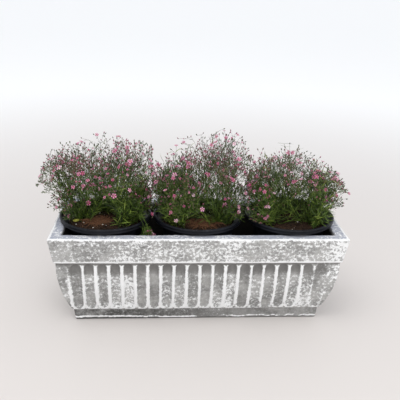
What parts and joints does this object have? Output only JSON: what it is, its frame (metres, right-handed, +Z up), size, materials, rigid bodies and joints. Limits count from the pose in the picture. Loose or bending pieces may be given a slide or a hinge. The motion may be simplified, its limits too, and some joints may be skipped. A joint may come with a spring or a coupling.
{
  "type": "planter box",
  "caption": "Rectangular cast cement trough with fluted battered sides, holding loose round nursery pots of fine-leaved flowering plants.",
  "frame": {"origin": "centre of the trough's underside, on the ground", "axes": "+X along the trough's length, +Z up, -Y is the front"},
  "size_m": [0.5191, 0.195, 0.3352],
  "materials": {
    "cement": "matt cast cement, limewashed and dry-brushed white",
    "pot_plastic": "thin moulded plastic, satin",
    "soil": "loose dark potting soil",
    "plant_green": "leaves, stems, buds and pink flowers",
    "coir": "loose brown coir fibre",
    "dry_leaf": "yellowed leaf"
  },
  "bodies": {
    "trough": {"trough": "cement"},
    "left_pot": {"left_pot": "pot_plastic", "left_root_ball": "soil", "left_plant_back": "plant_green", "left_plant_west": "plant_green", "left_plant_east": "plant_green", "left_coir": "coir", "left_fallen_leaf": "dry_leaf"},
    "middle_pot": {"middle_pot": "pot_plastic", "middle_root_ball": "soil", "middle_plant_back": "plant_green", "middle_plant_west": "plant_green", "middle_plant_east": "plant_green", "middle_coir": "coir"},
    "right_pot": {"right_pot": "pot_plastic", "right_root_ball": "soil", "right_plant_back": "plant_green", "right_plant_west": "plant_green", "right_plant_east": "plant_green"}
  },
  "joints": [
    {"name": "left_pot_lift", "type": "slide", "parent": "trough", "child": "left_pot", "axis": [0, 0, 1], "range_m": [0, 0.15]},
    {"name": "middle_pot_lift", "type": "slide", "parent": "trough", "child": "middle_pot", "axis": [0, 0, 1], "range_m": [0, 0.15]},
    {"name": "right_pot_lift", "type": "slide", "parent": "trough", "child": "right_pot", "axis": [0, 0, 1], "range_m": [0, 0.15]}
  ]
}
